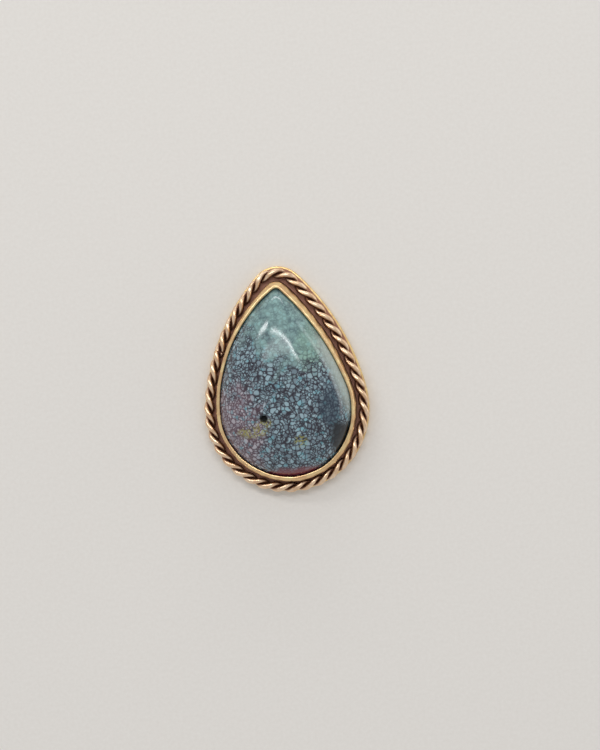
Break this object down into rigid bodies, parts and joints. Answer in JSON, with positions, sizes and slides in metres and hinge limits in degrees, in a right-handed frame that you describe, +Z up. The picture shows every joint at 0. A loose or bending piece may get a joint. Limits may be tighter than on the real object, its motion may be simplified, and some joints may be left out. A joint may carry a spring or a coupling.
{
  "type": "bezel-set turquoise cabochon",
  "caption": "Drop-shaped polished spider-web turquoise held in a brass bezel cup with a twisted-wire rope border on a flat back plate, the decorative front of a piece of jewellery.",
  "frame": {"origin": "middle of the whole footprint, on the flat back of the back plate", "axes": "+Z up out of the stone's face, +Y along the length towards the tip, +X to the right seen from the face"},
  "size_m": [0.0158, 0.0218, 0.0056],
  "materials": {
    "plate_brass": "antiqued, filed edge",
    "bezel_brass": "antiqued, burnished by hand",
    "rope_brass": "antiqued, dark in the grooves and bright on the crowns",
    "turquoise": "polished, blue-grey with a dark spider-web matrix"
  },
  "bodies": {
    "root": {"back_plate": "plate_brass", "bezel_band": "bezel_brass", "turquoise_cabochon": "turquoise", "rope_wire_1": "rope_brass", "rope_wire_2": "rope_brass"}
  },
  "joints": []
}
